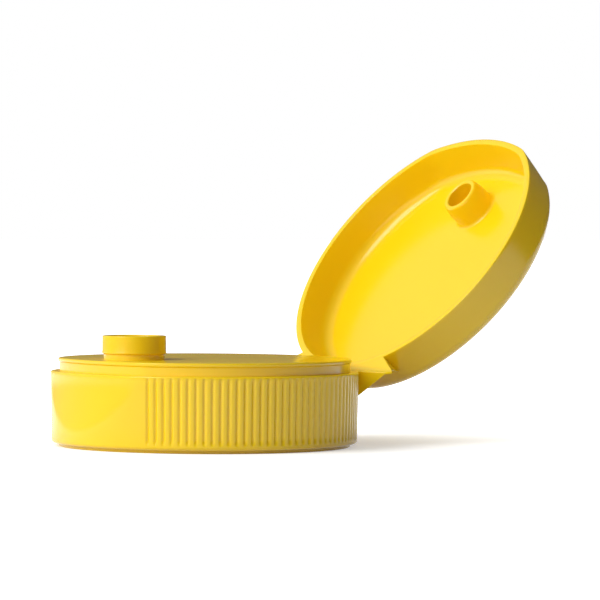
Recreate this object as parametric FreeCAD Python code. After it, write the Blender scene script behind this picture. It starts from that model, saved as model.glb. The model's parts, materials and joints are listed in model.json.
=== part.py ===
import FreeCAD, Part
import math
import os
from FreeCAD import Vector

# Flip-top dispensing cap for a 38 mm screw neck, moulded in one shot of polypropylene.
# Millimetres.  The origin is on the cap's axis, in the plane of the foot ring; +Z is up,
# the thumb recess faces -Y and the living hinge runs along X at the back.

# Driving dimensions: bottle side
bore_radius = 18.85
bore_depth = 8.5
ceiling_z = 10.3
ceiling_radius = 17.8
seal_bead_radius = 15.9
seal_bead_height = 0.45

# Driving dimensions: skirt
foot_radius = 19.4
foot_height = 0.45
skirt_radius_low = 20.33
skirt_radius_top = 20.5
edge_chamfer = 0.45
shoulder_chamfer = 0.15
shoulder_z = 9.95

# Driving dimensions: finger grip, narrow grooves between broad ribs
grip_pitch_deg = 3.0
grip_start_deg = 36.0
groove_half_width = 0.28
groove_depth = 0.2
groove_low_z = 1.15
groove_top_z = 9.7

# Driving dimensions: flattened front, an arc struck from behind the cap's axis
front_centre_y = 10.9
recess_front_radius = 30.42
recess_run_out = 0.88
recess_low_z = 2.3
recess_bend_z = 8.2
recess_bend_radius = 6.0

# Driving dimensions: deck and snap bead
deck_z = 11.67
deck_radius = 19.35
deck_front_radius = 29.1
bead_stand_out = 0.19
bead_low_z = 11.08

# Driving dimensions: nozzle
nozzle_y = -11.1
nozzle_radius = 4.2
nozzle_neck_radius = 4.02
nozzle_neck_height = 0.75
nozzle_top_z = 14.83
orifice_radius = 3.2
lip_chamfer = 0.2

# Driving dimensions: lid, in its closed place
rim_z = 10.05
lid_top_z = 16.5
lid_rim_radius = 20.68
lid_top_radius = 19.97
lid_front_rim_radius = 30.6
lid_front_top_radius = 29.0
lid_edge_radius = 2.0
lid_edge_chords = 6
lid_wall = 0.95
lid_ceiling_z = 15.3
lid_cove = 1.8
land_top_z = 12.1

# Driving dimensions: plug ring under the lid, which stops the nozzle
plug_radius = 3.0
plug_tip_radius = 2.65
plug_inner_radius = 2.0
plug_flare = 0.4
plug_tip_z = 11.66

# Driving dimensions: living hinge and the two wings that carry it
hinge_y = 20.7
hinge_z = 10.0
open_deg = 128.66
wing_root_half = 9.5
wing_root_y = 18.2
wing_half = 14.0
wing_depth = 3.4
film_thickness = 0.3
film_land = 0.5
relief = 0.7

UP = Vector(0, 0, 1)
ALONG_HINGE = Vector(1, 0, 0)
HINGE = Vector(0, hinge_y, hinge_z)


def rounded_outline(corners, centre_y=0.0):
    """Closed face in a plane through a vertical axis; corners are (radius, z, fillet)."""
    points = [Vector(r, centre_y, z) for r, z, _ in corners]
    edges = []
    previous_end = None
    first_start = None
    for i, (_, _, fillet) in enumerate(corners):
        corner = points[i]
        start, end = corner, corner
        if fillet > 0:
            back = (points[i - 1] - corner).normalize()
            ahead = (points[(i + 1) % len(points)] - corner).normalize()
            half = back.getAngle(ahead) / 2
            inward = (back + ahead).normalize()
            reach = fillet / math.tan(half)
            start = corner + back * reach
            end = corner + ahead * reach
            middle = corner + inward * (fillet / math.sin(half) - fillet)
        if previous_end is not None:
            edges.append(Part.LineSegment(previous_end, start).toShape())
        if fillet > 0:
            edges.append(Part.Arc(start, middle, end).toShape())
        if first_start is None:
            first_start = start
        previous_end = end
    edges.append(Part.LineSegment(previous_end, first_start).toShape())
    return Part.Face(Part.Wire(edges))


def turned(corners, centre_y=0.0):
    """Solid of revolution about the vertical axis through (0, centre_y)."""
    face = rounded_outline(corners, centre_y)
    return face.revolve(Vector(0, centre_y, 0), UP, 360)


def prism_along_x(outline, half_length):
    """Prism from a (y, z) outline, centred on x = 0."""
    points = [Vector(-half_length, y, z) for y, z in outline]
    face = Part.Face(Part.makePolygon(points + points[:1]))
    return face.extrude(ALONG_HINGE * (2 * half_length))


def skirt_blank():
    """Solid skirt: foot ring, rolled lower edge, slightly drafted wall and shoulder."""
    return turned([
        (0, 0, 0),
        (foot_radius, 0, 0),
        (foot_radius, foot_height, 0),
        (skirt_radius_low - edge_chamfer, foot_height, 0),
        (skirt_radius_low, foot_height + edge_chamfer, 0),
        (skirt_radius_top, shoulder_z - shoulder_chamfer, 0),
        (skirt_radius_top - shoulder_chamfer, shoulder_z, 0),
        (0, shoulder_z, 0),
    ])


def thumb_recess():
    """Ring cutter, flatter than the skirt, that leans out and so leaves a U-shaped recess."""
    outside = skirt_radius_top + front_centre_y + 4
    return turned([
        (recess_front_radius, shoulder_z + 1, 0),
        (recess_front_radius, recess_bend_z, recess_bend_radius),
        (recess_front_radius + recess_run_out, recess_low_z, 0),
        (outside, recess_low_z, 0),
        (outside, shoulder_z + 1, 0),
    ], front_centre_y)


def grip_grooves():
    """V grooves at every pitch round the skirt, except across the smooth front."""
    flare = 1.5
    half = groove_half_width * flare
    bottom_y = -(skirt_radius_low - groove_depth)
    outer_y = bottom_y - groove_depth * flare
    section = Part.makePolygon([
        Vector(0, bottom_y, groove_low_z),
        Vector(half, outer_y, groove_low_z),
        Vector(-half, outer_y, groove_low_z),
        Vector(0, bottom_y, groove_low_z),
    ])
    draft = skirt_radius_top - skirt_radius_low
    cutter = Part.Face(section).extrude(Vector(0, -draft, groove_top_z - groove_low_z))
    count = round((360 - 2 * grip_start_deg) / grip_pitch_deg) + 1
    cutters = []
    for i in range(count):
        groove = cutter.copy()
        groove.rotate(Vector(), UP, grip_start_deg + i * grip_pitch_deg)
        cutters.append(groove)
    return Part.makeCompound(cutters)


def deck_outline(radius):
    """Half-section of the raised deck, with the snap bead just below its edge."""
    bead = radius + bead_stand_out
    return [
        (0, ceiling_z - 1, 0),
        (radius - 0.6, ceiling_z - 1, 0),
        (radius - 0.6, shoulder_z - 0.1, 0),
        (radius, shoulder_z - 0.1, 0),
        (radius, bead_low_z, 0),
        (bead, bead_low_z + 0.2, 0),
        (bead, deck_z - 0.12, 0),
        (bead - 0.12, deck_z, 0),
        (0, deck_z, 0),
    ]


def deck():
    """Round deck whose front is flattened to sit inside the lid's front wall."""
    round_deck = turned(deck_outline(deck_radius))
    front_deck = turned(deck_outline(deck_front_radius), front_centre_y)
    return round_deck.common(front_deck)


def nozzle():
    """Straight spout with a slim neck above the deck and a fine bead over the neck."""
    neck_top = deck_z + nozzle_neck_height
    return turned([
        (0, deck_z - 0.5, 0),
        (nozzle_neck_radius, deck_z - 0.5, 0),
        (nozzle_neck_radius, neck_top, 0),
        (nozzle_radius + 0.05, neck_top + 0.1, 0),
        (nozzle_radius + 0.05, neck_top + 0.3, 0),
        (nozzle_radius, neck_top + 0.35, 0),
        (nozzle_radius, nozzle_top_z - lip_chamfer, 0),
        (nozzle_radius - lip_chamfer, nozzle_top_z, 0),
        (0, nozzle_top_z, 0),
    ], nozzle_y)


def orifice():
    """Bore of the nozzle down through the deck, with a small lead-in at its mouth."""
    return turned([
        (0, ceiling_z - 1, 0),
        (orifice_radius, ceiling_z - 1, 0),
        (orifice_radius, nozzle_top_z - 0.6, 0),
        (orifice_radius + 0.35, nozzle_top_z, 0),
        (orifice_radius + 0.35, nozzle_top_z + 1, 0),
        (0, nozzle_top_z + 1, 0),
    ], nozzle_y)


def bottle_hollow():
    """Room for the bottle's neck: thread bore, tapered roof corner, seal bead."""
    bead = seal_bead_radius
    return turned([
        (0, -1, 0),
        (bore_radius, -1, 0),
        (bore_radius, bore_depth, 0),
        (ceiling_radius, ceiling_z, 0),
        (bead + 0.45, ceiling_z, 0),
        (bead, ceiling_z - seal_bead_height, 0),
        (bead - 0.45, ceiling_z, 0),
        (0, ceiling_z, 0),
    ])


def wing_half_at(y):
    """Half-width of the wings at a distance back: a straight line from root to fold."""
    share = (y - wing_root_y) / (hinge_y - wing_root_y)
    return wing_root_half + (wing_half - wing_root_half) * share


def wing(level, side):
    """Gusset that widens the wall to the hinge film; side is -1 below level, +1 above."""
    edge_y = hinge_y - film_land
    edge_half = wing_half_at(edge_y)
    root = [
        Vector(-wing_root_half, wing_root_y, level),
        Vector(wing_root_half, wing_root_y, level),
        Vector(wing_root_half, wing_root_y, level + side * wing_depth),
        Vector(-wing_root_half, wing_root_y, level + side * wing_depth),
    ]
    edge = [
        Vector(-edge_half, edge_y, level),
        Vector(edge_half, edge_y, level),
        Vector(edge_half, edge_y, level + side * film_thickness),
        Vector(-edge_half, edge_y, level + side * film_thickness),
    ]
    faces = [Part.makePolygon(root + root[:1]), Part.makePolygon(edge + edge[:1])]
    outer = Part.makeLoft(faces, True, True)
    depth = 2.0
    inner_y = wing_root_y - depth
    inner = prism_along_x([
        (inner_y, level),
        (wing_root_y, level),
        (wing_root_y, level + side * wing_depth),
        (inner_y, level + side * (wing_depth - 1)),
    ], wing_root_half - 1.2)
    return outer.fuse(inner)


def hinge_relief(level, side):
    """Room beside the film where the round wall would otherwise reach past its edge."""
    edge_y = hinge_y - film_land
    thin = level + side * film_thickness
    return prism_along_x([
        (edge_y, level - side * 1.0),
        (edge_y, thin),
        (edge_y + relief, thin + side * relief),
        (edge_y + 2 * relief, thin + side * relief),
        (edge_y + 2 * relief, level - side * 1.0),
    ], wing_half + 1)


def closure_base():
    """Screw skirt, deck and nozzle, with the lower hinge wing."""
    body = skirt_blank().cut(thumb_recess()).cut(grip_grooves())
    body = body.fuse([deck(), nozzle(), wing(shoulder_z, -1)])
    body = body.cut(bottle_hollow()).cut(orifice())
    return body.cut(hinge_relief(shoulder_z, -1)).removeSplitter()


def drafted_shell(rim_radius, top_radius, centre_y=0.0):
    """Round block with a drafted wall; short chords round its top edge, to spare facets."""
    draft = math.atan((rim_radius - top_radius) / (lid_top_z - rim_z))
    centre_z = lid_top_z - lid_edge_radius
    wall_radius = rim_radius - (centre_z - rim_z) * math.tan(draft)
    centre_radius = wall_radius - lid_edge_radius / math.cos(draft)
    corners = [(0, rim_z, 0), (rim_radius, rim_z, 0)]
    for i in range(lid_edge_chords + 1):
        angle = draft + (math.pi / 2 - draft) * i / lid_edge_chords
        out = centre_radius + lid_edge_radius * math.cos(angle)
        corners.append((out, centre_z + lid_edge_radius * math.sin(angle), 0))
    corners.append((0, lid_top_z, 0))
    return turned(corners, centre_y)


def lid_outside():
    """Drafted shell with a rounded top edge, its front leaning back from a flatter arc."""
    round_part = drafted_shell(lid_rim_radius, lid_top_radius)
    front_part = drafted_shell(lid_front_rim_radius, lid_front_top_radius, front_centre_y)
    return round_part.common(front_part)


def lid_inside():
    """Hollow of the lid: straight land over the snap bead, then a corner coved in two steps."""
    rim = lid_rim_radius - lid_wall
    front_rim = lid_front_rim_radius - lid_wall
    round_part = turned([
        (0, rim_z - 1, 0),
        (rim, rim_z - 1, 0),
        (rim, land_top_z, 0),
        (rim - 0.2, lid_ceiling_z - lid_cove, 0),
        (rim - 0.55 * lid_cove, lid_ceiling_z - 0.35 * lid_cove, 0),
        (rim - 0.2 - lid_cove, lid_ceiling_z, 0),
        (0, lid_ceiling_z, 0),
    ])
    front_part = turned([
        (0, rim_z - 1, 0),
        (front_rim, rim_z - 1, 0),
        (front_rim, rim_z, 0),
        (front_rim - 0.25, land_top_z, 0),
        (front_rim - 0.65, lid_ceiling_z - lid_cove, 0),
        (front_rim - 0.45 - 0.55 * lid_cove, lid_ceiling_z - 0.35 * lid_cove, 0),
        (front_rim - 0.65 - lid_cove, lid_ceiling_z, 0),
        (0, lid_ceiling_z, 0),
    ], front_centre_y)
    return round_part.common(front_part)


def plug_ring():
    """Hollow stopper that enters the nozzle, tapered at its tip."""
    root_z = lid_ceiling_z + 0.4
    return turned([
        (plug_inner_radius, root_z, 0),
        (plug_inner_radius, plug_tip_z, 0),
        (plug_tip_radius - 0.2, plug_tip_z, 0),
        (plug_tip_radius, plug_tip_z + 0.2, 0),
        (plug_radius, plug_tip_z + 1.6, 0),
        (plug_radius, lid_ceiling_z - plug_flare, 0),
        (plug_radius + plug_flare, lid_ceiling_z, 0),
        (plug_radius + plug_flare, root_z, 0),
    ], nozzle_y)


def flip_lid():
    """Lid with its plug ring and upper hinge wing, swung open about the hinge."""
    shell = lid_outside().fuse(wing(rim_z, 1)).cut(lid_inside())
    shell = shell.fuse(plug_ring()).cut(hinge_relief(rim_z, 1)).removeSplitter()
    shell.rotate(HINGE, ALONG_HINGE, -open_deg)
    return shell


def film_corner():
    """Wedge beyond the wings' slanting edge, between the film's end and the fold."""
    edge_y = hinge_y - film_land
    outside = wing_half + 1
    plan = Part.makePolygon([
        Vector(wing_half_at(edge_y), edge_y, hinge_z - 1),
        Vector(wing_half, hinge_y, hinge_z - 1),
        Vector(outside, hinge_y, hinge_z - 1),
        Vector(outside, edge_y, hinge_z - 1),
        Vector(wing_half_at(edge_y), edge_y, hinge_z - 1),
    ])
    return Part.Face(plan).extrude(Vector(0, 0, 2))


def hinge_film():
    """Living hinge: a thin strip bent from the lower wing's edge up to the lid's."""
    bend = math.radians(180 - open_deg)
    drop = hinge_z - shoulder_z + film_thickness / 2
    run = film_land + drop * math.tan(bend / 2)
    radius = run / math.tan(bend / 2)
    start_y = hinge_y - film_land
    centre = Vector(-wing_half, start_y, hinge_z - drop + radius)

    def bent_point(distance, angle):
        return centre + Vector(0, math.sin(angle), -math.cos(angle)) * distance

    inner = radius - film_thickness / 2
    outer = radius + film_thickness / 2
    edges = [
        Part.Arc(bent_point(inner, 0), bent_point(inner, bend / 2), bent_point(inner, bend)),
        Part.LineSegment(bent_point(inner, bend), bent_point(outer, bend)),
        Part.Arc(bent_point(outer, bend), bent_point(outer, bend / 2), bent_point(outer, 0)),
        Part.LineSegment(bent_point(outer, 0), bent_point(inner, 0)),
    ]
    face = Part.Face(Part.Wire([edge.toShape() for edge in edges]))
    film = face.extrude(ALONG_HINGE * (2 * wing_half))
    corners = [film_corner(), film_corner()]
    corners[1].rotate(HINGE, ALONG_HINGE, -open_deg)
    for corner in list(corners):
        corners.append(corner.mirror(Vector(), ALONG_HINGE))
    return film.cut(corners)


os.makedirs("parts", exist_ok=True)
nodes = {"closure_base": closure_base(), "flip_lid": flip_lid(), "hinge_film": hinge_film()}
for name, shape in nodes.items():
    shape.exportStep(os.path.join("parts", name + ".step"))
    box = shape.BoundBox
    print(name, shape.ShapeType, len(shape.Solids), shape.isValid(), round(shape.Volume, 1),
          [round(v, 2) for v in (box.XMin, box.YMin, box.ZMin, box.XMax, box.YMax, box.ZMax)])
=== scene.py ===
import bmesh
import bpy
import json
import math
from mathutils import Matrix, Vector


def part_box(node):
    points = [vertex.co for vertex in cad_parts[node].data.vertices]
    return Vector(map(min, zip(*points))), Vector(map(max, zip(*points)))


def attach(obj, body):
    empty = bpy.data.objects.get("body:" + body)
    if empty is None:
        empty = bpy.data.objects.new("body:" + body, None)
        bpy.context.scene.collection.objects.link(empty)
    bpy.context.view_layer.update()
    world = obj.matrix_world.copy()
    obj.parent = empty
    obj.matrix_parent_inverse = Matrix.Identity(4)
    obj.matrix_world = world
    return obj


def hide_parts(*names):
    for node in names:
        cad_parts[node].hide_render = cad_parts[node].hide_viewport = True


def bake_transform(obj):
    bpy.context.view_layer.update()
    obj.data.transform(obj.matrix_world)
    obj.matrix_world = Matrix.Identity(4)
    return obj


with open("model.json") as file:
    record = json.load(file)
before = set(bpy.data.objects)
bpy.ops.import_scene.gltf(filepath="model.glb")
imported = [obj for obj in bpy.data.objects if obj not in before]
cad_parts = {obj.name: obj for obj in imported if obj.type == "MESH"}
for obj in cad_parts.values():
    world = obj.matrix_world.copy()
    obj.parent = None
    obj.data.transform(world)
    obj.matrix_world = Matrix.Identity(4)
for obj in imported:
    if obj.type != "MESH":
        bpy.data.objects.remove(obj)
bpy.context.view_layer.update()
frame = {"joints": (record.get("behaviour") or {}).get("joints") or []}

MM = 0.001


# Camera.  A long lens stands about half a metre off, a little above the deck, and looks
# at the cap from between its thumb side and its right-hand side.
camera_distance = 560.16 * MM
camera_height = 31.65 * MM
camera_azimuth = 0.996164
camera_yaw = -0.02253
camera_pitch = -0.021688
camera_roll = 0.00611

camera_data = bpy.data.cameras.new("camera")
camera_data.sensor_width = 36
camera_data.lens = 252.31
camera_data.clip_end = 20
camera = bpy.data.objects.new("camera", camera_data)
bpy.context.scene.collection.objects.link(camera)
swing = Matrix.Rotation(camera_azimuth, 4, "Z")
place = swing @ Vector((0, -camera_distance, camera_height))
aim = Matrix.Rotation(camera_azimuth + camera_yaw, 4, "Z")
aim = aim @ Matrix.Rotation(math.pi / 2 + camera_pitch, 4, "X")
aim = aim @ Matrix.Rotation(camera_roll, 4, "Z")
camera.matrix_world = Matrix.Translation(place) @ aim
bpy.context.scene.camera = camera
bpy.context.scene.view_settings.view_transform = "Standard"


# Material of the whole moulding: polypropylene with yellow masterbatch, injection moulded
# in a polished tool.  It is glossy and slightly milky, with a faint ripple of shrinkage.
def linear(hex_colour):
    """Linear RGBA of an sRGB hex colour."""
    parts = [int(hex_colour[i:i + 2], 16) / 255 for i in (1, 3, 5)]
    return tuple(c / 12.92 if c <= 0.04045 else ((c + 0.055) / 1.055) ** 2.4 for c in parts) + (1,)


def add_node(tree, kind, inputs=None, **settings):
    """A node with its settings; an input is given a value or is linked to a socket."""
    node = tree.nodes.new(kind)
    for name, value in settings.items():
        setattr(node, name, value)
    for key, value in (inputs or {}).items():
        if isinstance(value, bpy.types.NodeSocket):
            tree.links.new(value, node.inputs[key])
        else:
            node.inputs[key].default_value = value
    return node


def moulded_polypropylene(name, deep, pale, gloss_roughness):
    """Glossy coloured polypropylene: milky under the surface, rippled at 6 mm, grained at 0.3 mm."""
    material = bpy.data.materials.new(name)
    material.use_nodes = True
    tree = material.node_tree
    tree.nodes.clear()
    where = add_node(tree, "ShaderNodeTexCoord").outputs["Object"]
    ripple = add_node(tree, "ShaderNodeTexNoise", {"Vector": where, "Scale": 160.0, "Detail": 2.0})
    grain = add_node(tree, "ShaderNodeTexNoise", {"Vector": where, "Scale": 3200.0, "Detail": 1.0})
    flow = add_node(tree, "ShaderNodeTexNoise", {"Vector": where, "Scale": 45.0, "Detail": 3.0})
    colour = add_node(tree, "ShaderNodeMix", {
        "Factor": flow.outputs["Fac"],
        "A": linear(deep),
        "B": linear(pale),
    }, data_type="RGBA")
    roughness = add_node(tree, "ShaderNodeMapRange", {
        "Value": grain.outputs["Fac"],
        "To Min": gloss_roughness - 0.04,
        "To Max": gloss_roughness + 0.04,
    })
    shrinkage = add_node(tree, "ShaderNodeBump", {
        "Height": ripple.outputs["Fac"],
        "Distance": 0.02 * MM,
    })
    surface = add_node(tree, "ShaderNodeBump", {
        "Height": grain.outputs["Fac"],
        "Distance": 0.002 * MM,
        "Normal": shrinkage.outputs["Normal"],
    })
    shader = add_node(tree, "ShaderNodeBsdfPrincipled", {
        "Base Color": colour.outputs["Result"],
        "Roughness": roughness.outputs["Result"],
        "IOR": 1.49,
        "Subsurface Weight": 0.15,
        "Subsurface Radius": (1.0, 0.6, 0.15),
        "Subsurface Scale": 1.2 * MM,
        "Normal": surface.outputs["Normal"],
    })
    add_node(tree, "ShaderNodeOutputMaterial", {"Surface": shader.outputs["BSDF"]})
    return material


yellow = moulded_polypropylene("polypropylene_yellow_gloss", "#F6CC0A", "#FAD410", 0.2)


# Screw skirt, deck and nozzle: one thick-walled moulding.  The skirt is drafted from the
# foot to the shoulder, its front is hollowed for the thumb, the deck carries a snap bead
# and the nozzle stands near the front.
base_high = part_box("closure_base")[1]
skirt_top_radius = base_high.x
skirt_low_radius = skirt_top_radius - 0.17 * MM
foot_radius = 19.4 * MM
foot_height = 0.45 * MM
shoulder_z = 9.95 * MM
deck_z = 11.67 * MM
deck_radius = 19.35 * MM
deck_front_radius = 29.1 * MM
bead_stand_out = 0.19 * MM
bore_radius = 18.85 * MM
bore_depth = 8.5 * MM
ceiling_z = 10.3 * MM
seal_bead_radius = 15.9 * MM
front_centre_y = 10.9 * MM
recess_front_radius = 30.42 * MM
recess_run_out = 0.88 * MM
recess_low_z = 2.3 * MM
recess_bend_z = 8.2 * MM
nozzle_y = -11.1 * MM
nozzle_radius = 4.2 * MM
nozzle_top_z = base_high.z
orifice_radius = 3.2 * MM
edge_roll = 0.45 * MM
shoulder_round = 0.18 * MM
grip_pitch = math.radians(3)
steps_round_skirt = 1200
steps_round_nozzle = 144


def front_reach(angle, radius):
    """Distance from the cap's axis to the flatter front arc, at an angle from the front."""
    along = -math.cos(angle) * front_centre_y
    return along + math.sqrt(along * along + radius * radius - front_centre_y ** 2)


def soft_least(a, b, width):
    """The smaller of two lengths, with the corner between them rounded over a width."""
    overlap = max(width - abs(a - b), 0) / width
    return min(a, b) - overlap * overlap * width / 4


def corner_arc(sections, corner, fillet, before, after, count=5):
    """Adds an arc to a round half-section; corner, before and after are (radius, z)."""
    here = Vector(corner)
    back = (Vector(before) - here).normalized()
    ahead = (Vector(after) - here).normalized()
    half = back.angle(ahead) / 2
    middle = here + (back + ahead).normalized() * (fillet / math.sin(half))
    start = here + back * (fillet / math.tan(half))
    end = here + ahead * (fillet / math.tan(half))
    sweep = (start - middle).angle(end - middle)
    for i in range(count + 1):
        share = i / count
        blend = (start - middle) * math.sin((1 - share) * sweep) + (end - middle) * math.sin(share * sweep)
        point = middle + blend / math.sin(sweep)
        sections.append((point.x, None, point.y))


def ring(bm, section, steps, centre_y=0.0, softness=0.15 * MM):
    """One closed ring of vertices for a section (radius, front radius or None, z)."""
    radius, front, z = section
    vertices = []
    for i in range(steps):
        angle = 2 * math.pi * i / steps
        reach = radius
        if front is not None:
            reach = soft_least(radius, front_reach(angle, front), softness)
        vertices.append(bm.verts.new((reach * math.sin(angle), centre_y - reach * math.cos(angle), z)))
    return vertices


def skin(bm, rings):
    """Quads between each ring and the next."""
    for low, high in zip(rings, rings[1:]):
        count = len(low)
        for i in range(count):
            j = (i + 1) % count
            bm.faces.new((low[i], low[j], high[j], high[i]))


def fill_between(bm, outer, inner):
    """Flat fill between a ring and a ring or rings inside it."""
    edges = []
    for loop in [outer] + inner:
        for a, b in zip(loop, loop[1:] + loop[:1]):
            edges.append(bm.edges.get((a, b)) or bm.edges.new((a, b)))
    bmesh.ops.triangle_fill(bm, use_beauty=True, edges=edges)


def finished_mesh(bm, name, crease=32):
    """A piece from a bmesh: normals outwards, smooth but for its real corners."""
    bmesh.ops.recalc_face_normals(bm, faces=bm.faces)
    mesh = bpy.data.meshes.new(name)
    bm.to_mesh(mesh)
    bm.free()
    mesh.shade_smooth()
    mesh.set_sharp_from_angle(angle=math.radians(crease))
    piece = bpy.data.objects.new(name, mesh)
    bpy.context.scene.collection.objects.link(piece)
    return piece


def skirt_radius(z):
    """Drafted outer radius of the skirt at a height."""
    share = (z - foot_height) / (shoulder_z - foot_height)
    return skirt_low_radius + (skirt_top_radius - skirt_low_radius) * share


def recess_radius(z):
    """Front arc of the thumb recess: upright under the shoulder, then leaning outwards."""
    lean = recess_run_out / (recess_bend_z - recess_low_z)
    ease = 0.9 * MM
    below = recess_bend_z - z
    eased = max(below + ease, 0) ** 2 / (4 * ease)
    return recess_front_radius + lean * (below if below > ease else eased)


skirt = []
skirt.append((bore_radius, None, bore_depth))
skirt.append((bore_radius, None, 0.25 * MM))
skirt.append((bore_radius + 0.2 * MM, None, 0))
skirt.append((foot_radius - 0.08 * MM, None, 0))
skirt.append((foot_radius, None, 0.08 * MM))
skirt.append((foot_radius, None, foot_height))
roll_radius = skirt_radius(foot_height + edge_roll)
skirt.append((roll_radius - 0.75 * MM, None, foot_height))
for i in range(7):
    angle = math.pi / 2 * i / 6
    out = roll_radius - edge_roll + edge_roll * math.sin(angle)
    skirt.append((out, None, foot_height + edge_roll * (1 - math.cos(angle))))
wall_rows = 24
wall_low = 1.1 * MM
wall_top = shoulder_z - shoulder_round
for i in range(wall_rows + 1):
    z = wall_low + (wall_top - wall_low) * i / wall_rows
    skirt.append((skirt_radius(z), recess_radius(z), z))
for i in range(1, 5):
    angle = math.pi / 2 * i / 4
    inwards = shoulder_round * (1 - math.cos(angle))
    z = wall_top + shoulder_round * math.sin(angle)
    skirt.append((skirt_top_radius - inwards, recess_front_radius - inwards, z))
skirt.append((deck_radius, deck_front_radius, shoulder_z))
bead_low = 11.08 * MM
bead_radius = deck_radius + bead_stand_out
bead_front = deck_front_radius + bead_stand_out
skirt.append((deck_radius, deck_front_radius, bead_low))
skirt.append((bead_radius - 0.04 * MM, bead_front - 0.04 * MM, bead_low + 0.13 * MM))
skirt.append((bead_radius, bead_front, bead_low + 0.2 * MM))
bead_edge = 0.16 * MM
for i in range(6):
    angle = math.pi / 2 * i / 5
    inwards = bead_edge * (1 - math.cos(angle))
    z = deck_z - bead_edge + bead_edge * math.sin(angle)
    skirt.append((bead_radius - inwards, bead_front - inwards, z))

bm = bmesh.new()
skirt_rings = [ring(bm, section, steps_round_skirt) for section in skirt]
skin(bm, skirt_rings)

spout = [
    (nozzle_radius - 0.18 * MM, None, deck_z),
    (nozzle_radius - 0.2 * MM, None, deck_z + 0.7 * MM),
    (nozzle_radius - 0.14 * MM, None, deck_z + 0.76 * MM),
    (nozzle_radius + 0.03 * MM, None, deck_z + 0.84 * MM),
    (nozzle_radius + 0.05 * MM, None, deck_z + 0.95 * MM),
    (nozzle_radius + 0.03 * MM, None, deck_z + 1.06 * MM),
    (nozzle_radius, None, deck_z + 1.15 * MM),
]
lip = (nozzle_radius, nozzle_top_z)
mouth = (orifice_radius + 0.3 * MM, nozzle_top_z)
throat = (orifice_radius, nozzle_top_z - 0.6 * MM)
corner_arc(spout, lip, 0.14 * MM, (nozzle_radius, deck_z), (0, nozzle_top_z))
corner_arc(spout, mouth, 0.12 * MM, lip, throat, 3)
spout.append((orifice_radius, None, nozzle_top_z - 0.6 * MM))
spout.append((orifice_radius, None, ceiling_z + 0.1 * MM))
spout.append((orifice_radius + 0.1 * MM, None, ceiling_z))
spout_rings = [ring(bm, section, steps_round_nozzle, nozzle_y) for section in spout]
skin(bm, spout_rings)
fill_between(bm, skirt_rings[-1], [spout_rings[0]])

ceiling = [
    (seal_bead_radius - 0.45 * MM, None, ceiling_z),
    (seal_bead_radius - 0.1 * MM, None, ceiling_z - 0.42 * MM),
    (seal_bead_radius + 0.1 * MM, None, ceiling_z - 0.42 * MM),
    (seal_bead_radius + 0.45 * MM, None, ceiling_z),
    (17.5 * MM, None, ceiling_z),
    (17.9 * MM, None, ceiling_z - 0.2 * MM),
]
ceiling_rings = [ring(bm, section, steps_round_skirt) for section in ceiling]
skin(bm, ceiling_rings + [skirt_rings[0]])
fill_between(bm, ceiling_rings[0], [spout_rings[-1]])
closure_body = finished_mesh(bm, "closure_body")
closure_body.data.materials.append(yellow)


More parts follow.
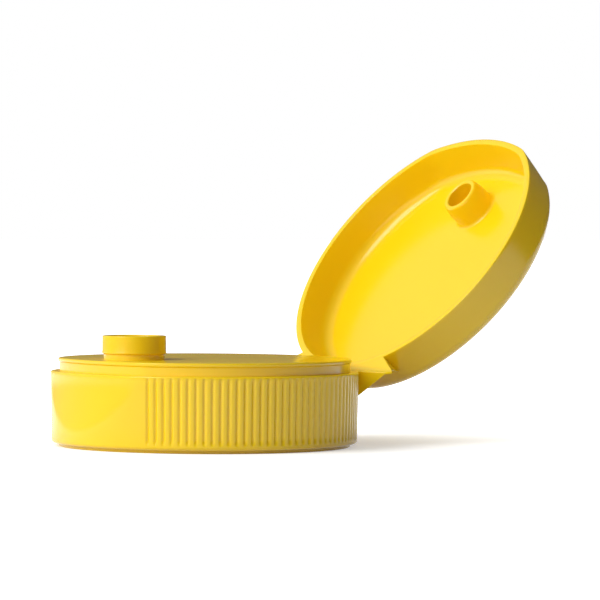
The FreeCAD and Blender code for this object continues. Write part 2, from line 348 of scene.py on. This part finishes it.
# Finger grip: shallow grooves moulded all round the skirt except across the smooth front,
# so the ribs between them are broad.  One tree sinks every groove into the wall.
def grip_tree():
    """Geometry nodes that sink evenly pitched upright grooves into a round wall."""
    tree = bpy.data.node_groups.new("grip_grooves", "GeometryNodeTree")
    face = tree.interface
    face.new_socket("Geometry", in_out="INPUT", socket_type="NodeSocketGeometry")
    for name in ("Pitch", "Smooth front", "Depth", "Half width", "Low", "Top", "Wall radius"):
        face.new_socket(name, in_out="INPUT", socket_type="NodeSocketFloat")
    face.new_socket("Material", in_out="INPUT", socket_type="NodeSocketMaterial")
    face.new_socket("Geometry", in_out="OUTPUT", socket_type="NodeSocketGeometry")
    given = add_node(tree, "NodeGroupInput").outputs

    def maths(operation, *values):
        node = add_node(tree, "ShaderNodeMath", dict(enumerate(values)), operation=operation)
        return node.outputs["Value"]

    def ramp(value, low, high):
        node = add_node(tree, "ShaderNodeMapRange", {
            "Value": value, "From Min": low, "From Max": high,
        }, interpolation_type="SMOOTHSTEP")
        return node.outputs["Result"]

    position = add_node(tree, "GeometryNodeInputPosition").outputs["Position"]
    place = add_node(tree, "ShaderNodeSeparateXYZ", {"Vector": position}).outputs
    turn = maths("ABSOLUTE", maths("ARCTAN2", place["X"], maths("MULTIPLY", place["Y"], -1.0)))
    radius = maths("SQRT", maths("ADD", maths("POWER", place["X"], 2.0), maths("POWER", place["Y"], 2.0)))
    pitches = maths("DIVIDE", turn, given["Pitch"])
    off_valley = maths("ABSOLUTE", maths("SUBTRACT", pitches, maths("ROUND", pitches)))
    pitch_length = maths("MULTIPLY", given["Pitch"], given["Wall radius"])
    width_in_pitches = maths("DIVIDE", given["Half width"], pitch_length)
    groove = ramp(off_valley, width_in_pitches, 0.0)
    beyond_front = maths("GREATER_THAN", turn, given["Smooth front"])
    outside = maths("GREATER_THAN", radius, maths("SUBTRACT", given["Wall radius"], 0.4 * MM))
    from_low = ramp(place["Z"], given["Low"], maths("ADD", given["Low"], 0.35 * MM))
    to_top = ramp(place["Z"], given["Top"], maths("SUBTRACT", given["Top"], 0.3 * MM))
    sunk = maths("MULTIPLY", groove, maths("MULTIPLY", beyond_front, outside))
    sunk = maths("MULTIPLY", sunk, maths("MULTIPLY", from_low, to_top))
    depth = maths("MULTIPLY", sunk, given["Depth"])
    outwards = add_node(tree, "ShaderNodeCombineXYZ", {"X": place["X"], "Y": place["Y"], "Z": 0.0})
    outwards = add_node(tree, "ShaderNodeVectorMath", {0: outwards.outputs[0]}, operation="NORMALIZE")
    shift = add_node(tree, "ShaderNodeVectorMath", {
        0: outwards.outputs["Vector"],
        "Scale": maths("MULTIPLY", depth, -1.0),
    }, operation="SCALE")
    moved = add_node(tree, "GeometryNodeSetPosition", {
        "Geometry": given["Geometry"], "Offset": shift.outputs["Vector"],
    })
    real = add_node(tree, "GeometryNodeRealizeInstances", {"Geometry": moved.outputs["Geometry"]})
    dressed = add_node(tree, "GeometryNodeSetMaterial", {
        "Geometry": real.outputs["Geometry"], "Material": given["Material"],
    })
    add_node(tree, "NodeGroupOutput", {"Geometry": dressed.outputs["Geometry"]})
    return tree


def apply_tree(piece, tree, values):
    """Runs a node tree on a piece with named inputs and leaves a plain mesh."""
    modifier = piece.modifiers.new(tree.name, "NODES")
    modifier.node_group = tree
    for item in tree.interface.items_tree:
        if item.in_out == "INPUT" and item.name in values:
            modifier[item.identifier] = values[item.name]
    bpy.context.view_layer.update()
    evaluated = piece.evaluated_get(bpy.context.evaluated_depsgraph_get())
    plain = bpy.data.meshes.new_from_object(evaluated)
    piece.modifiers.clear()
    piece.data = plain


apply_tree(closure_body, grip_tree(), {
    "Pitch": grip_pitch,
    "Smooth front": math.radians(35),
    "Depth": 0.2 * MM,
    "Half width": 0.34 * MM,
    "Low": 1.1 * MM,
    "Top": shoulder_z - 0.2 * MM,
    "Wall radius": skirt_top_radius,
    "Material": yellow,
})
closure_body.data.shade_smooth()
closure_body.data.set_sharp_from_angle(angle=math.radians(32))
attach(closure_body, "base")
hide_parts("closure_base")


# Neck thread: one turn and a quarter of round-topped ridge inside the skirt, moulded with
# it and unscrewed from the tool, with both ends faded out.
def thread_tree():
    """Geometry nodes for a helical ridge that fades out at both ends."""
    tree = bpy.data.node_groups.new("neck_thread", "GeometryNodeTree")
    face = tree.interface
    face.new_socket("Geometry", in_out="INPUT", socket_type="NodeSocketGeometry")
    for name in ("Radius", "Pitch", "Turns", "Start height", "Ridge"):
        face.new_socket(name, in_out="INPUT", socket_type="NodeSocketFloat")
    face.new_socket("Material", in_out="INPUT", socket_type="NodeSocketMaterial")
    face.new_socket("Geometry", in_out="OUTPUT", socket_type="NodeSocketGeometry")
    given = add_node(tree, "NodeGroupInput").outputs
    height = add_node(tree, "ShaderNodeMath", {0: given["Pitch"], 1: given["Turns"]}, operation="MULTIPLY")
    helix = add_node(tree, "GeometryNodeCurveSpiral", {
        "Resolution": 96,
        "Rotations": given["Turns"],
        "Start Radius": given["Radius"],
        "End Radius": given["Radius"],
        "Height": height.outputs["Value"],
    })
    lift = add_node(tree, "ShaderNodeCombineXYZ", {"Z": given["Start height"]})
    raised = add_node(tree, "GeometryNodeTransform", {
        "Geometry": helix.outputs["Curve"], "Translation": lift.outputs["Vector"],
    })
    along = add_node(tree, "GeometryNodeSplineParameter").outputs["Factor"]
    from_end = add_node(tree, "ShaderNodeMath", {0: along, 1: 0.5}, operation="SUBTRACT")
    from_end = add_node(tree, "ShaderNodeMath", {0: from_end.outputs["Value"]}, operation="ABSOLUTE")
    fade = add_node(tree, "ShaderNodeMapRange", {
        "Value": from_end.outputs["Value"], "From Min": 0.5, "From Max": 0.42,
        "To Min": 0.02, "To Max": 1.0,
    }, interpolation_type="SMOOTHSTEP")
    tapered = add_node(tree, "GeometryNodeSetCurveRadius", {
        "Curve": raised.outputs["Geometry"], "Radius": fade.outputs["Result"],
    })
    section = add_node(tree, "GeometryNodeCurvePrimitiveCircle", {
        "Resolution": 20, "Radius": given["Ridge"],
    }, mode="RADIUS")
    swept = add_node(tree, "GeometryNodeCurveToMesh", {
        "Curve": tapered.outputs["Curve"],
        "Profile Curve": section.outputs["Curve"],
        "Scale": fade.outputs["Result"],
        "Fill Caps": True,
    })
    smooth = add_node(tree, "GeometryNodeSetShadeSmooth", {"Geometry": swept.outputs["Mesh"]})
    real = add_node(tree, "GeometryNodeRealizeInstances", {"Geometry": smooth.outputs["Geometry"]})
    dressed = add_node(tree, "GeometryNodeSetMaterial", {
        "Geometry": real.outputs["Geometry"], "Material": given["Material"],
    })
    add_node(tree, "NodeGroupOutput", {"Geometry": dressed.outputs["Geometry"]})
    return tree


neck_thread = bpy.data.objects.new("neck_thread", bpy.data.meshes.new("neck_thread"))
bpy.context.scene.collection.objects.link(neck_thread)
apply_tree(neck_thread, thread_tree(), {
    "Radius": bore_radius + 0.1 * MM,
    "Pitch": 4.23 * MM,
    "Turns": 1.25,
    "Start height": 2.0 * MM,
    "Ridge": 0.95 * MM,
    "Material": yellow,
})
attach(neck_thread, "base")


# Flip lid: a shallow drafted shell with a rounded top edge, flattened at the front, and a
# hollow plug ring that stops the nozzle.  It is shaped shut, then swung open on its film.
hinge = frame["joints"][0]
hinge_point = Vector(hinge["pos_m"])
open_angle = math.radians(hinge["range_deg"][1])
swung_open = (
    Matrix.Translation(hinge_point)
    @ Matrix.Rotation(-open_angle, 4, "X")
    @ Matrix.Translation(-hinge_point)
)
rim_z = 10.05 * MM
lid_top_z = 16.5 * MM
lid_rim_radius = 20.68 * MM
lid_front_radius = 30.6 * MM
lid_draft = 0.71 * MM
lid_front_lean = 1.6 * MM
lid_wall = 0.95 * MM
lid_edge = 2.0 * MM
lid_ceiling_z = 15.3 * MM
lid_cove = 1.8 * MM
land_top_z = 12.1 * MM
plug_radius = 3.0 * MM
plug_tip_z = 11.66 * MM
plug_root = 0.5 * MM
steps_round_lid = 720


def lid_outer(z):
    """Outer radius and front-arc radius of the lid's wall at a height."""
    share = (z - rim_z) / (lid_top_z - rim_z)
    return lid_rim_radius - lid_draft * share, lid_front_radius - lid_front_lean * share


lid_profile = []
edge_centre_z = lid_top_z - lid_edge
edge_radius, edge_front = lid_outer(edge_centre_z)
top_rows = 10
for share in (0.45, 0.8, 0.97):
    lid_profile.append(((edge_radius - lid_edge) * share, (edge_front - lid_edge) * share, lid_top_z))
for i in range(top_rows + 1):
    angle = math.pi / 2 * (1 - i / top_rows)
    inwards = lid_edge * (1 - math.cos(angle))
    z = edge_centre_z + lid_edge * math.sin(angle)
    lid_profile.append((edge_radius - inwards, edge_front - inwards, z))
for i in range(1, 12):
    z = edge_centre_z + (rim_z + 0.12 * MM - edge_centre_z) * i / 11
    lid_profile.append((*lid_outer(z), z))
inner_rim = lid_rim_radius - lid_wall
inner_front = lid_front_radius - lid_wall
near, far = 0.04 * MM, 0.12 * MM
lid_profile.append((lid_rim_radius - near, lid_front_radius - near, rim_z + near))
lid_profile.append((lid_rim_radius - far, lid_front_radius - far, rim_z))
lid_profile.append((inner_rim + far, inner_front + far, rim_z))
lid_profile.append((inner_rim + near, inner_front + near, rim_z + near))
lid_profile.append((inner_rim, inner_front, rim_z + 0.14 * MM))
lid_profile.append((inner_rim, inner_front - 0.25 * MM, land_top_z))
cove_z = lid_ceiling_z - lid_cove
cove_radius = inner_rim - 0.2 * MM
cove_front = inner_front - 0.65 * MM
for i in range(9):
    angle = math.pi / 2 * i / 8
    inwards = lid_cove * (1 - math.cos(angle))
    z = cove_z + lid_cove * math.sin(angle)
    lid_profile.append((cove_radius - inwards, cove_front - inwards, z))

bm = bmesh.new()
lid_rings = [ring(bm, section, steps_round_lid) for section in lid_profile]
skin(bm, lid_rings)
crown = bm.verts.new((0, 0, lid_top_z))
for i in range(steps_round_lid):
    bm.faces.new((crown, lid_rings[0][i], lid_rings[0][(i + 1) % steps_round_lid]))

plug = []
for i in range(6):
    angle = math.pi / 2 * (1 - i / 5)
    out = plug_radius + plug_root * (1 - math.cos(angle))
    plug.append((out, None, lid_ceiling_z - plug_root * (1 - math.sin(angle))))
plug.append((plug_radius, None, plug_tip_z + 1.6 * MM))
plug.append((plug_radius - 0.27 * MM, None, plug_tip_z + 0.3 * MM))
plug.append((plug_radius - 0.33 * MM, None, plug_tip_z + 0.12 * MM))
plug.append((plug_radius - 0.47 * MM, None, plug_tip_z))
plug.append((plug_radius - 0.85 * MM, None, plug_tip_z))
plug.append((plug_radius - 0.98 * MM, None, plug_tip_z + 0.1 * MM))
plug.append((plug_radius - 1.0 * MM, None, lid_ceiling_z - 0.3 * MM))
plug.append((plug_radius - 1.1 * MM, None, lid_ceiling_z - 0.08 * MM))
plug.append((plug_radius - 1.3 * MM, None, lid_ceiling_z))
plug_rings = [ring(bm, section, steps_round_nozzle, nozzle_y) for section in plug]
skin(bm, plug_rings)
fill_between(bm, lid_rings[-1], [plug_rings[0]])
pit = bm.verts.new((0, nozzle_y, lid_ceiling_z))
for i in range(steps_round_nozzle):
    bm.faces.new((pit, plug_rings[-1][i], plug_rings[-1][(i + 1) % steps_round_nozzle]))
bmesh.ops.transform(bm, matrix=swung_open, verts=bm.verts)
lid_shell = finished_mesh(bm, "lid_shell")
lid_shell.data.materials.append(yellow)
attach(lid_shell, "lid")
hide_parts("flip_lid")


# Hinge wings: two gussets, one on the skirt and one on the lid, that widen the round walls
# to the straight fold.  Each is a crescent whose root lies inside the wall that carries it.
wing_root_half = 9.5 * MM
wing_root_y = 18.2 * MM
wing_half = 14.0 * MM
wing_depth = 3.4 * MM
wing_edge_y = hinge_point.y - 0.5 * MM
film_thickness = 0.3 * MM
wing_slant = (wing_half - wing_root_half) / (hinge_point.y - wing_root_y)
wing_slope = (wing_depth - film_thickness) / (wing_edge_y - wing_root_y)
wing_edge_half = wing_half - wing_slant * (hinge_point.y - wing_edge_y)


def wing(name, level, side, body, turn=None):
    """A gusset below (side -1) or above (side +1) a level, closed by an arc inside the wall."""
    root_radius = 20.0 * MM
    root_x = wing_root_half - 0.56 * MM
    sunk = 0.01 * MM
    plan = [(wing_edge_half, wing_edge_y), (-wing_edge_half, wing_edge_y)]
    for i in range(33):
        x = -root_x + 2 * root_x * i / 32
        plan.append((x, math.sqrt(root_radius ** 2 - x * x)))
    bm = bmesh.new()
    flat = []
    sloped = []
    for x, y in plan:
        depth = film_thickness + wing_slope * (wing_edge_y - y)
        flat.append(bm.verts.new((x, y, level + side * sunk)))
        sloped.append(bm.verts.new((x, y, level + side * depth)))
    bm.faces.new(flat)
    bm.faces.new(sloped[::-1])
    for i in range(len(plan)):
        j = (i + 1) % len(plan)
        bm.faces.new((flat[i], flat[j], sloped[j], sloped[i]))
    bmesh.ops.recalc_face_normals(bm, faces=bm.faces)
    outer = set(flat[:2] + sloped[:2])
    edges = [edge for edge in bm.edges if outer & set(edge.verts)]
    bmesh.ops.bevel(bm, geom=edges, offset=0.08 * MM, segments=3, profile=0.5, affect="EDGES")
    if turn is not None:
        bmesh.ops.transform(bm, matrix=turn, verts=bm.verts)
    piece = finished_mesh(bm, name, 50)
    piece.data.materials.append(yellow)
    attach(piece, body)


wing("skirt_wing", shoulder_z, -1, "base")
wing("lid_wing", rim_z, 1, "lid", swung_open)


# Hinge film: the thin strip that joins the two wings and bends when the lid moves.  It is
# moulded flat with them, runs to a soft point at each end of the fold, and stays bent there.
film_bend = math.pi - open_angle
film_drop = hinge_point.z - shoulder_z + film_thickness / 2
film_run = 0.5 * MM + film_drop * math.tan(film_bend / 2)
film_radius = film_run / math.tan(film_bend / 2)
film_centre = Vector((0, wing_edge_y, hinge_point.z - film_drop + film_radius))
film_rows = 16
film_columns = 28
buried = 0.45 * MM


def film_line(offset):
    """Side view of one face of the film, from inside the skirt's wing to inside the lid's."""
    points = [Vector((0, wing_edge_y - buried, film_centre.z - film_radius + offset))]
    for i in range(film_rows + 1):
        angle = film_bend * i / film_rows
        arm = film_radius - offset
        points.append(film_centre + Vector((0, math.sin(angle), -math.cos(angle))) * arm)
    along = Vector((0, math.cos(film_bend), math.sin(film_bend)))
    points.append(points[-1] + along * buried)
    return points


def film_half(row):
    """Half-width of the film at a row: it follows the wings' slant out to the fold."""
    if row in (0, film_rows + 2):
        return wing_edge_half - wing_slant * buried
    from_fold = abs(2 * (row - 1) / film_rows - 1)
    return wing_half - (wing_half - wing_edge_half) * math.hypot(from_fold, 0.15)


bm = bmesh.new()
trim = 0.02 * MM
film_faces = []
for offset in (film_thickness / 2 - trim, -film_thickness / 2 + trim):
    rows = []
    for row, point in enumerate(film_line(offset)):
        half = film_half(row) - trim
        places = [half * (2 * i / film_columns - 1) for i in range(film_columns + 1)]
        rows.append([bm.verts.new((x, point.y, point.z)) for x in places])
    film_faces.append(rows)
for rows in film_faces:
    for a, b in zip(rows, rows[1:]):
        for i in range(film_columns):
            bm.faces.new((a[i], a[i + 1], b[i + 1], b[i]))
upper_rows, lower_rows = film_faces
for i in range(film_rows + 2):
    for side in (0, film_columns):
        bm.faces.new((
            upper_rows[i][side], upper_rows[i + 1][side],
            lower_rows[i + 1][side], lower_rows[i][side],
        ))
for end in (0, film_rows + 2):
    for i in range(film_columns):
        bm.faces.new((
            upper_rows[end][i], upper_rows[end][i + 1],
            lower_rows[end][i + 1], lower_rows[end][i],
        ))
fold_film = finished_mesh(bm, "fold_film", 60)
fold_film.data.materials.append(yellow)
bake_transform(fold_film)
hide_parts("hinge_film")


# Floor and light.  The cap stands on a white sweep that keeps only its contact shadow, with
# a broad softbox on the nozzle side and dim surroundings, so the far side falls darker.
def white_sweep():
    """Matt white whose own glow, to the lens and to gloss, grows away from the cap."""
    material = bpy.data.materials.new("sweep_matt_white")
    material.use_nodes = True
    tree = material.node_tree
    tree.nodes.clear()
    path = add_node(tree, "ShaderNodeLightPath").outputs
    seen = add_node(tree, "ShaderNodeMath", {
        0: path["Is Camera Ray"], 1: path["Is Glossy Ray"],
    }, operation="MAXIMUM").outputs[0]
    seen = add_node(tree, "ShaderNodeMath", {
        0: seen, 1: path["Is Transmission Ray"],
    }, operation="MAXIMUM").outputs[0]
    where = add_node(tree, "ShaderNodeTexCoord").outputs["Object"]
    away = add_node(tree, "ShaderNodeVectorMath", {0: where}, operation="LENGTH").outputs["Value"]
    glow = add_node(tree, "ShaderNodeMapRange", {
        "Value": away, "From Min": 22.0 * MM, "From Max": 60.0 * MM, "To Min": 0.45, "To Max": 1.0,
    }, interpolation_type="SMOOTHSTEP").outputs["Result"]
    strength = add_node(tree, "ShaderNodeMath", {0: glow, 1: seen}, operation="MULTIPLY").outputs[0]
    matt = add_node(tree, "ShaderNodeBsdfPrincipled", {
        "Base Color": linear("#E8E8E8"),
        "Roughness": 0.9,
        "Specular IOR Level": 0.0,
        "Emission Color": linear("#FFFFFF"),
        "Emission Strength": strength,
    })
    add_node(tree, "ShaderNodeOutputMaterial", {"Surface": matt.outputs["BSDF"]})
    return material


floor_mesh = bpy.data.meshes.new("floor")
bm = bmesh.new()
half_floor = 3.0
corners = [(-1, -1), (1, -1), (1, 1), (-1, 1)]
bm.faces.new([bm.verts.new((x * half_floor, y * half_floor, 0)) for x, y in corners])
bm.to_mesh(floor_mesh)
bm.free()
floor = bpy.data.objects.new("floor", floor_mesh)
bpy.context.scene.collection.objects.link(floor)
floor.data.materials.append(white_sweep())

world = bpy.data.worlds.new("studio")
bpy.context.scene.world = world
world.use_nodes = True
tree = world.node_tree
tree.nodes.clear()
path = add_node(tree, "ShaderNodeLightPath").outputs
seen = add_node(tree, "ShaderNodeMath", {
    0: path["Is Camera Ray"], 1: path["Is Transmission Ray"],
}, operation="MAXIMUM").outputs[0]
towards = add_node(tree, "ShaderNodeTexCoord").outputs["Generated"]
bright_side = (math.sin(math.radians(-25)), -math.cos(math.radians(-25)), 0.35)
facing = add_node(tree, "ShaderNodeVectorMath", {
    0: towards, 1: bright_side,
}, operation="DOT_PRODUCT").outputs["Value"]
surroundings = add_node(tree, "ShaderNodeMapRange", {
    "Value": facing, "From Min": -0.2, "From Max": 0.9, "To Min": 0.12, "To Max": 0.75,
}, interpolation_type="SMOOTHSTEP").outputs["Result"]
strength = add_node(tree, "ShaderNodeMath", {0: surroundings, 1: seen}, operation="MAXIMUM").outputs[0]
sky = add_node(tree, "ShaderNodeBackground", {"Color": linear("#FFFFFF"), "Strength": strength})
add_node(tree, "ShaderNodeOutputWorld", {"Surface": sky.outputs["Background"]})


def softbox(name, azimuth, elevation, distance, size, power):
    """A square area lamp aimed at the cap from a direction given as for the views."""
    lamp = bpy.data.lights.new(name, "AREA")
    lamp.shape = "SQUARE"
    lamp.size = size
    lamp.energy = power
    holder = bpy.data.objects.new(name, lamp)
    bpy.context.scene.collection.objects.link(holder)
    turn = Matrix.Rotation(math.radians(azimuth), 4, "Z")
    turn = turn @ Matrix.Rotation(math.radians(90 - elevation), 4, "X")
    aim_at = Matrix.Translation(Vector((0, 0.015, 0.02)))
    holder.matrix_world = aim_at @ turn @ Matrix.Translation(Vector((0, 0, distance)))


softbox("key", 0, 35, 0.9, 0.6, 6.0)
